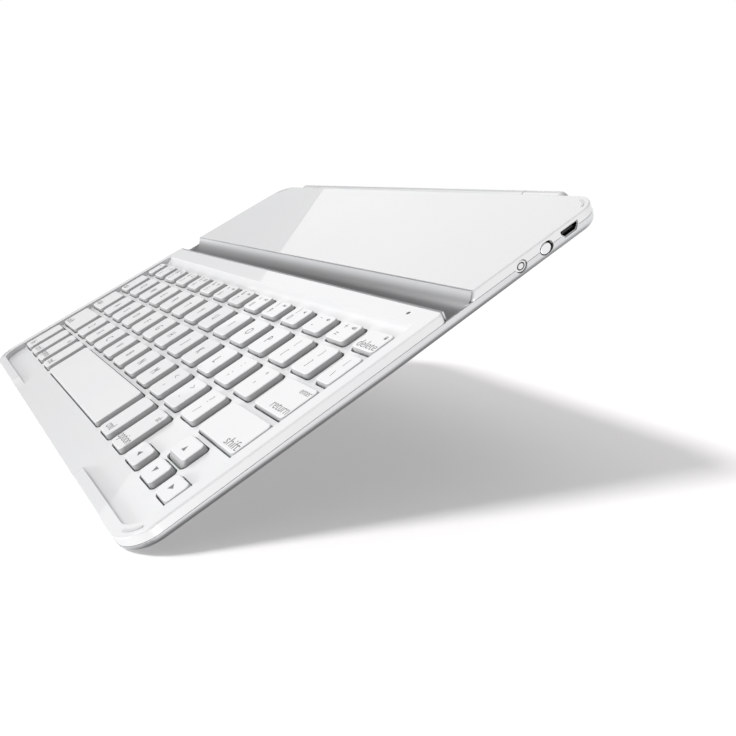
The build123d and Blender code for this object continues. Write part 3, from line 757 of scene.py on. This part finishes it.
# ---- small trim on the controls -------------------------------------------------------------
RING_R, RING_W, RING_T = 1.1 * MM, 0.42 * MM, 0.045 * MM
RING_SUNK = 0.03 * MM
RING_OVAL = 1.3                    # length over height
CONTACTS = 5
CONTACT_W = 0.4 * MM
CONTACT_BACK, CONTACT_FRONT = 1.5 * MM, 0.3 * MM       # bare tongue behind and in front of a contact
CONTACT_PROUD, CONTACT_SUNK = 0.06 * MM, 0.02 * MM

ring = Piece()
centre = np.array([button_high.x - RING_SUNK, *((button_low + button_high) / 2)[1:]])
band, band_faces = ring_band(RING_R, RING_W, RING_T)
ring.add(band * (1, RING_OVAL, 1) + centre, band_faces)
ring.build("connect_ring_mark", [EXTRA["mark"]], "connect_button_body")

contacts = Piece()
tongue_low, tongue_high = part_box("usb_tongue")
for i in range(CONTACTS):
    y = tongue_low.y + (i + 0.5) / CONTACTS * (tongue_high.y - tongue_low.y)
    contacts.add(*box_faces(
        (tongue_low.x + CONTACT_BACK, y - CONTACT_W / 2, tongue_low.z - CONTACT_PROUD),
        (tongue_high.x - CONTACT_FRONT, y + CONTACT_W / 2, tongue_low.z + CONTACT_SUNK)))
contacts.build("usb_contacts", [EXTRA["gold"]], "case")


# ---- floor, light and camera -------------------------------------------------------------
FLOOR_N = Vector((0.0, 0.55, 0.8352))     # the case stands on its front edge, its rear raised
FLOOR_REACH = 12.0
LIGHT_FROM = Vector((-0.05, -0.277, 0.96))
LOW_RIGHT = (0.93, -0.15, -0.33)
SKY_FROM = Vector((-0.75, -0.45, 0.48)).normalized()     # the sky is brightest there
SKY_STRENGTH = (0.0, 1.05)                               # opposite that side, and there
# Each of these goes from one height of the sky to another, and from one share of the light to another.
SKY_GROUND = (-0.95, -0.15, 0.12, 1.0)
MIRROR_GROUND = (-0.92, -0.46, 0.14, 1.0)                # what is reflected, below the horizon
MIRROR_SKY = (0.0, 0.3, 1.0, 0.6)                        # what is reflected, above it: dimmer than the panel
PANEL_GLOW = 1.15
PANEL_EDGE = ((-0.0710, 0.0918), (0.0943, -0.0891))      # where the change of tone crosses the covers
PANEL_PAST = (0.06, 0.05)                                # how far the edge goes on beyond each end
PANEL_RIGHT = 0.16                                       # its other side, at the covers' height
PANEL_FAR = 5.0                                          # times the covers' distance
COVER_Z = 0.0074
LENS, SENSOR = 36.573, 36.0
SHIFT = (-0.00773, -0.00308)
CAMERA_AT = Vector((0.29612, -0.08659, 0.10497))
LOOK = Vector((-0.81556, 0.35720, -0.45527))
UP = Vector((-0.20848, 0.55254, 0.80699))

tray = frame["nodes"]["bottom_shell"].data
tray_points = np.zeros(len(tray.vertices) * 3)
tray.vertices.foreach_get("co", tray_points)
floor_at = FLOOR_N * float((tray_points.reshape(-1, 3) @ np.array(FLOOR_N)).min())
floor_mesh = bpy.data.meshes.new("floor")
side, forward = Vector((1, 0, 0)), FLOOR_N.cross(Vector((1, 0, 0))).normalized()
floor_mesh.from_pydata([floor_at + side * (a * FLOOR_REACH) + forward * (b * FLOOR_REACH)
                        for a, b in ((-1, -1), (1, -1), (1, 1), (-1, 1))], [], [(0, 1, 2, 3)])
floor = bpy.data.objects.new("floor", floor_mesh)
scene.collection.objects.link(floor)
floor.visible_glossy = floor.visible_diffuse = False
floor_paint = bpy.data.materials.new("floor white")
floor_paint.use_nodes = True
tree = floor_paint.node_tree
paint = tree.nodes["Principled BSDF"]
paint.inputs["Base Color"].default_value = (1, 0.985, 0.98, 1)
paint.inputs["Roughness"].default_value = 1.0
paint.inputs["Specular IOR Level"].default_value = 0.0
open_below = tree.nodes.new("ShaderNodeBsdfTransparent")
which = tree.nodes.new("ShaderNodeMixShader")
facing = tree.nodes.new("ShaderNodeNewGeometry")
tree.links.new(facing.outputs["Backfacing"], which.inputs[0])
tree.links.new(paint.outputs[0], which.inputs[1])
tree.links.new(open_below.outputs[0], which.inputs[2])
tree.links.new(which.outputs[0], tree.nodes["Material Output"].inputs["Surface"])
floor_mesh.materials.append(floor_paint)

world = bpy.data.worlds.new("studio")
scene.world = world
world.use_nodes = True
sky = world.node_tree
background = sky.nodes["Background"]
background.inputs["Color"].default_value = (0.99, 0.992, 1.0, 1)
heading = node(sky, "ShaderNodeTexCoord")
lean = node(sky, "ShaderNodeVectorMath", operation="DOT_PRODUCT")
lean.inputs[1].default_value = SKY_FROM
sky.links.new(heading.outputs["Generated"], lean.inputs[0])
fade = range_node(sky, lean.outputs["Value"], (-1.0, 1.0, *SKY_STRENGTH))
split = node(sky, "ShaderNodeSeparateXYZ")
sky.links.new(heading.outputs["Generated"], split.inputs[0])
ground = range_node(sky, split.outputs["Z"], SKY_GROUND)
sky.links.new(math_node(sky, "MULTIPLY", fade, ground), background.inputs["Strength"])
mirrored = node(sky, "ShaderNodeBackground")
mirrored.inputs["Color"].default_value = (0.985, 0.99, 1.0, 1)
below = range_node(sky, split.outputs["Z"], MIRROR_GROUND, interpolation_type="SMOOTHSTEP")
above = range_node(sky, split.outputs["Z"], MIRROR_SKY, interpolation_type="SMOOTHSTEP")
sky.links.new(math_node(sky, "MULTIPLY", below, above), mirrored.inputs["Strength"])
backdrop = node(sky, "ShaderNodeBackground")
backdrop.inputs["Color"].default_value = (1, 1, 1, 1)
backdrop.inputs["Strength"].default_value = 1.0
path = node(sky, "ShaderNodeLightPath")
seen = node(sky, "ShaderNodeMixShader")
sky.links.new(path.outputs["Is Glossy Ray"], seen.inputs[0])
sky.links.new(background.outputs[0], seen.inputs[1])
sky.links.new(mirrored.outputs[0], seen.inputs[2])
pick = node(sky, "ShaderNodeMixShader")
sky.links.new(path.outputs["Is Camera Ray"], pick.inputs[0])
sky.links.new(seen.outputs[0], pick.inputs[1])
sky.links.new(backdrop.outputs[0], pick.inputs[2])
sky.links.new(pick.outputs[0], sky.nodes["World Output"].inputs["Surface"])

floor_group = bpy.data.collections.new("floor only")
scene.collection.children.link(floor_group)
scene.collection.objects.unlink(floor)
floor_group.objects.link(floor)
object_group = bpy.data.collections.new("all but the floor")
object_group.objects.link(floor)
object_group.collection_objects[0].light_linking.link_state = "EXCLUDE"


def sun_light(name, come_from, strength, spread, receivers, blockers=None):
    """Distant lamp that shines from a direction, lights what its receivers allow and is shaded by what its
    blockers allow, or by everything."""
    lamp = bpy.data.lights.new(name, "SUN")
    lamp.energy, lamp.angle = strength, math.radians(spread)
    holder = bpy.data.objects.new(name, lamp)
    holder.rotation_mode = "QUATERNION"
    holder.rotation_quaternion = Vector(come_from).to_track_quat("Z", "Y")
    holder.light_linking.receiver_collection = receivers
    if blockers:
        holder.light_linking.blocker_collection = blockers
    scene.collection.objects.link(holder)


front_group = bpy.data.collections.new("all but the floor and the rear cover")
for left_out in (floor, frame["nodes"]["rear_cover"]):
    front_group.objects.link(left_out)
for entry in front_group.collection_objects:
    entry.light_linking.link_state = "EXCLUDE"
shell_group = bpy.data.collections.new("shell only")
shell_group.objects.link(frame["nodes"]["bottom_shell"])
outer_group = bpy.data.collections.new("outer parts")
for name in ("front_cover", "rear_cover", "connect_button", "power_knob"):
    outer_group.objects.link(frame["nodes"][name])
sun_light("floor light", LIGHT_FROM, 2.3, 13, floor_group)
sun_light("floor fill", FLOOR_N, 0.30, 20, floor_group, floor_group)
sun_light("left light", (-0.42, -0.20, 0.88), 0.9, 14, object_group)
sun_light("front fill", (-0.10, -0.90, 0.42), 0.95, 20, front_group, object_group)
sun_light("low right light", LOW_RIGHT, 2.5, 12, outer_group, object_group)
sun_light("shell light", LOW_RIGHT, 0.22, 60, shell_group, object_group)

# A long white panel whose reflection in the covers ends along a line, with a sharp change of tone there. Its
# corners are worked out on the covers, and carried on from the camera's mirror image below them.
mirror_eye = Vector((CAMERA_AT.x, CAMERA_AT.y, 2 * COVER_Z - CAMERA_AT.z))
edge_a, edge_b = (Vector((x, y, COVER_Z)) for x, y in PANEL_EDGE)
along = (edge_b - edge_a).normalized()
reach_a, reach_b = edge_a - along * PANEL_PAST[0], edge_b + along * PANEL_PAST[1]
corners = [reach_a, reach_b, *(Vector((PANEL_RIGHT, end.y, COVER_Z)) for end in (reach_b, reach_a))]
panel_mesh = bpy.data.meshes.new("panel")
panel_mesh.from_pydata([mirror_eye + (c - mirror_eye) * PANEL_FAR for c in corners], [], [(0, 1, 2, 3)])
panel_paint = bpy.data.materials.new("panel light")
panel_paint.use_nodes = True
tree = panel_paint.node_tree
glow = node(tree, "ShaderNodeEmission", in_Strength=PANEL_GLOW)
tree.links.new(glow.outputs[0], tree.nodes["Material Output"].inputs["Surface"])
panel_mesh.materials.append(panel_paint)
panel = bpy.data.objects.new("panel", panel_mesh)
scene.collection.objects.link(panel)
panel.visible_camera = panel.visible_shadow = panel.visible_diffuse = False
polished = bpy.data.collections.new("polished plastic")
for part in scene.objects:
    if part.name.endswith(("_cap", "_caps", "_cover")):
        polished.objects.link(part)
panel.light_linking.receiver_collection = polished

camera_data = bpy.data.cameras.new("camera")
camera_data.sensor_width, camera_data.lens = SENSOR, LENS
camera_data.shift_x, camera_data.shift_y = SHIFT
camera_data.clip_start, camera_data.clip_end = 0.01, 50
camera = bpy.data.objects.new("camera", camera_data)
right = LOOK.cross(UP).normalized()
upright = right.cross(LOOK).normalized()
camera.matrix_world = Matrix((
    (right.x, upright.x, -LOOK.x, CAMERA_AT.x),
    (right.y, upright.y, -LOOK.y, CAMERA_AT.y),
    (right.z, upright.z, -LOOK.z, CAMERA_AT.z),
    (0, 0, 0, 1)))
scene.collection.objects.link(camera)
scene.camera = camera
